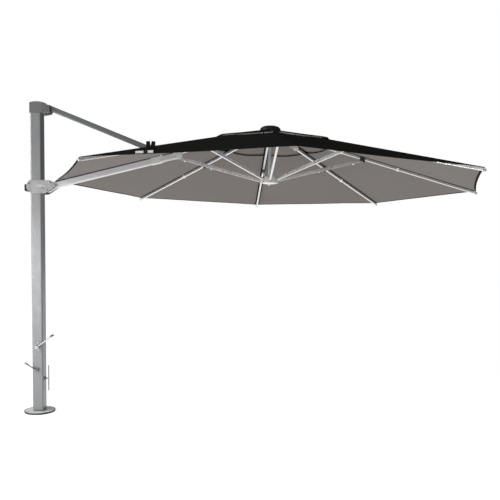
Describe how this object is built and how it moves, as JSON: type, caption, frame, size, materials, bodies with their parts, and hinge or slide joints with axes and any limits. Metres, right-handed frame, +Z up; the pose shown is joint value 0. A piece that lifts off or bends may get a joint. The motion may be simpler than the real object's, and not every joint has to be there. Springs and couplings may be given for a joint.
{
  "type": "cantilever parasol",
  "caption": "Side-mast garden parasol with a swivelling mast, sliding carriage, sloping arm and strut, folding rib frame and black octagonal canopy with vent cap.",
  "frame": {"origin": "centre of the floor plate's underside, on the mast's axis", "axes": "+Z up along the mast, +X from the mast to the canopy, -Y to the side with the cranks"},
  "size_m": [4.295, 4.01, 2.8776],
  "materials": {
    "polished_steel": "polished",
    "dark_steel": "satin",
    "mast_aluminium": "powder coated grey",
    "frame_aluminium": "powder coated grey",
    "cast_aluminium": "painted cast grey",
    "black_plastic": "moulded",
    "grey_plastic": "moulded",
    "fork_metal": "black painted",
    "rib_fittings": "moulded",
    "pale_ring": "moulded",
    "bright_steel": "bright",
    "cloth": "woven polyester, black outside and taupe inside"
  },
  "bodies": {
    "base": {"base_plate": "polished_steel", "spindle": "dark_steel", "swivel_washer": "black_plastic"},
    "mast": {"mast_tube": "mast_aluminium", "spindle_bushes": "black_plastic", "head_casting": "cast_aluminium", "head_pins": "bright_steel", "rope_sheave": "black_plastic", "winch_plates": "cast_aluminium"},
    "winch": {"winch_crank": "bright_steel", "winch_grip": "black_plastic", "winch_drum": "bright_steel"},
    "canopy_winch": {"fold_crank": "bright_steel", "fold_grip": "black_plastic", "fold_drum": "bright_steel"},
    "brake": {"brake_handle": "bright_steel"},
    "strut": {"strut_tube": "frame_aluminium", "strut_head": "black_plastic", "strut_fork": "fork_metal"},
    "arm": {"arm_tube": "frame_aluminium", "arm_root": "black_plastic", "arm_collar": "cast_aluminium", "arm_pins": "bright_steel", "arm_block": "cast_aluminium", "arm_rib": "frame_aluminium"},
    "carriage": {"carriage_plates": "cast_aluminium", "carriage_bolts": "bright_steel", "carriage_rollers": "black_plastic", "carriage_grip": "black_plastic"},
    "crown": {"crown_hub": "grey_plastic", "crown_pins": "bright_steel", "crown_knob": "black_plastic", "centre_post": "frame_aluminium", "canopy": "cloth", "vent_cap": "cloth"},
    "lower_hub": {"lower_hub": "grey_plastic", "hub_pins": "bright_steel", "hub_finial": "pale_ring"},
    "stretcher_arm": {"stretcher_arm": "frame_aluminium"},
    "rib_000": {"rib_000": "frame_aluminium", "rib_000_fittings": "rib_fittings"},
    "stretcher_000": {"stretcher_000": "frame_aluminium"},
    "rib_045": {"rib_045": "frame_aluminium", "rib_045_fittings": "rib_fittings"},
    "stretcher_045": {"stretcher_045": "frame_aluminium"},
    "rib_090": {"rib_090": "frame_aluminium", "rib_090_fittings": "rib_fittings"},
    "stretcher_090": {"stretcher_090": "frame_aluminium"},
    "rib_135": {"rib_135": "frame_aluminium", "rib_135_fittings": "rib_fittings"},
    "stretcher_135": {"stretcher_135": "frame_aluminium"},
    "rib_225": {"rib_225": "frame_aluminium", "rib_225_fittings": "rib_fittings"},
    "stretcher_225": {"stretcher_225": "frame_aluminium"},
    "rib_270": {"rib_270": "frame_aluminium", "rib_270_fittings": "rib_fittings"},
    "stretcher_270": {"stretcher_270": "frame_aluminium"},
    "rib_315": {"rib_315": "frame_aluminium", "rib_315_fittings": "rib_fittings"},
    "stretcher_315": {"stretcher_315": "frame_aluminium"}
  },
  "joints": [
    {"name": "swivel", "type": "hinge", "parent": "base", "child": "mast", "pos_m": [0, 0, 0.02], "axis": [0, 0, 1], "continuous": true},
    {"name": "lift", "type": "hinge", "parent": "mast", "child": "strut", "pos_m": [0.1, 0, 2.829], "axis": [0, 1, 0], "range_deg": [0, 60]},
    {"name": "arm_elbow", "type": "hinge", "parent": "strut", "child": "arm", "pos_m": [1.09, 0, 2.4555], "axis": [0, 1, 0], "range_deg": [-120, 0]},
    {"name": "carriage_pivot", "type": "hinge", "parent": "arm", "child": "carriage", "pos_m": [0.1, 0, 2.082], "axis": [0, 1, 0], "range_deg": [0, 60]},
    {"name": "canopy_fold", "type": "hinge", "parent": "arm", "child": "crown", "pos_m": [2.076, 0, 2.623], "axis": [0, 1, 0], "range_deg": [0, 66], "deforming": ["canopy", "vent_cap"]},
    {"name": "rib_000_hinge", "type": "hinge", "parent": "crown", "child": "rib_000", "pos_m": [2.224, 0, 2.635], "axis": [0, 1, 0], "range_deg": [0, 66]},
    {"name": "stretcher_000_hinge", "type": "hinge", "parent": "rib_000", "child": "stretcher_000", "pos_m": [3.03, 0, 2.428], "axis": [0, 1, 0], "range_deg": [-132, 0]},
    {"name": "rib_045_hinge", "type": "hinge", "parent": "crown", "child": "rib_045", "pos_m": [2.20233, 0.05233, 2.635], "axis": [-0.7071, 0.7071, 0], "range_deg": [0, 66]},
    {"name": "stretcher_045_hinge", "type": "hinge", "parent": "rib_045", "child": "stretcher_045", "pos_m": [2.77225, 0.62225, 2.428], "axis": [-0.7071, 0.7071, 0], "range_deg": [-132, 0]},
    {"name": "rib_090_hinge", "type": "hinge", "parent": "crown", "child": "rib_090", "pos_m": [2.15, 0.074, 2.635], "axis": [-1, 0, 0], "range_deg": [0, 66]},
    {"name": "stretcher_090_hinge", "type": "hinge", "parent": "rib_090", "child": "stretcher_090", "pos_m": [2.15, 0.88, 2.428], "axis": [-1, 0, 0], "range_deg": [-132, 0]},
    {"name": "rib_135_hinge", "type": "hinge", "parent": "crown", "child": "rib_135", "pos_m": [2.09767, 0.05233, 2.635], "axis": [-0.7071, -0.7071, 0], "range_deg": [0, 66]},
    {"name": "stretcher_135_hinge", "type": "hinge", "parent": "rib_135", "child": "stretcher_135", "pos_m": [1.52775, 0.62225, 2.428], "axis": [-0.7071, -0.7071, 0], "range_deg": [-132, 0]},
    {"name": "rib_225_hinge", "type": "hinge", "parent": "crown", "child": "rib_225", "pos_m": [2.09767, -0.05233, 2.635], "axis": [0.7071, -0.7071, 0], "range_deg": [0, 66]},
    {"name": "stretcher_225_hinge", "type": "hinge", "parent": "rib_225", "child": "stretcher_225", "pos_m": [1.52775, -0.62225, 2.428], "axis": [0.7071, -0.7071, 0], "range_deg": [-132, 0]},
    {"name": "rib_270_hinge", "type": "hinge", "parent": "crown", "child": "rib_270", "pos_m": [2.15, -0.074, 2.635], "axis": [1, 0, 0], "range_deg": [0, 66]},
    {"name": "stretcher_270_hinge", "type": "hinge", "parent": "rib_270", "child": "stretcher_270", "pos_m": [2.15, -0.88, 2.428], "axis": [1, 0, 0], "range_deg": [-132, 0]},
    {"name": "rib_315_hinge", "type": "hinge", "parent": "crown", "child": "rib_315", "pos_m": [2.20233, -0.05233, 2.635], "axis": [0.7071, 0.7071, 0], "range_deg": [0, 66]},
    {"name": "stretcher_315_hinge", "type": "hinge", "parent": "rib_315", "child": "stretcher_315", "pos_m": [2.77225, -0.62225, 2.428], "axis": [0.7071, 0.7071, 0], "range_deg": [-132, 0]},
    {"name": "stretcher_arm_hinge", "type": "hinge", "parent": "arm", "child": "stretcher_arm", "pos_m": [1.27, 0, 2.416], "axis": [0, -1, 0], "range_deg": [-132, 0]},
    {"name": "lower_hub_hinge", "type": "hinge", "parent": "stretcher_arm", "child": "lower_hub", "pos_m": [2.076, 0, 2.209], "axis": [0, -1, 0], "range_deg": [0, 66]},
    {"name": "winch_turn", "type": "hinge", "parent": "mast", "child": "winch", "pos_m": [0.007, -0.1, 0.63], "axis": [0, -1, 0], "range_deg": [0, 2520]},
    {"name": "canopy_winch_turn", "type": "hinge", "parent": "mast", "child": "canopy_winch", "pos_m": [-0.002, -0.074, 0.407], "axis": [0, -1, 0], "range_deg": [0, 2160]},
    {"name": "brake_turn", "type": "hinge", "parent": "mast", "child": "brake", "pos_m": [0.085, 0, 0.317], "axis": [1, 0, 0], "range_deg": [0, 180]}
  ],
  "couplings": [
    {"joint": "arm_elbow", "follows": "lift", "ratio": -2},
    {"joint": "carriage_pivot", "follows": "lift", "ratio": 1},
    {"joint": "rib_000_hinge", "follows": "canopy_fold", "ratio": 1},
    {"joint": "stretcher_000_hinge", "follows": "canopy_fold", "ratio": -2},
    {"joint": "rib_045_hinge", "follows": "canopy_fold", "ratio": 1},
    {"joint": "stretcher_045_hinge", "follows": "canopy_fold", "ratio": -2},
    {"joint": "rib_090_hinge", "follows": "canopy_fold", "ratio": 1},
    {"joint": "stretcher_090_hinge", "follows": "canopy_fold", "ratio": -2},
    {"joint": "rib_135_hinge", "follows": "canopy_fold", "ratio": 1},
    {"joint": "stretcher_135_hinge", "follows": "canopy_fold", "ratio": -2},
    {"joint": "rib_225_hinge", "follows": "canopy_fold", "ratio": 1},
    {"joint": "stretcher_225_hinge", "follows": "canopy_fold", "ratio": -2},
    {"joint": "rib_270_hinge", "follows": "canopy_fold", "ratio": 1},
    {"joint": "stretcher_270_hinge", "follows": "canopy_fold", "ratio": -2},
    {"joint": "rib_315_hinge", "follows": "canopy_fold", "ratio": 1},
    {"joint": "stretcher_315_hinge", "follows": "canopy_fold", "ratio": -2},
    {"joint": "stretcher_arm_hinge", "follows": "canopy_fold", "ratio": -2},
    {"joint": "lower_hub_hinge", "follows": "canopy_fold", "ratio": 1},
    {"joint": "winch_turn", "follows": "lift", "ratio": 42},
    {"joint": "canopy_winch_turn", "follows": "canopy_fold", "ratio": 32.727}
  ]
}
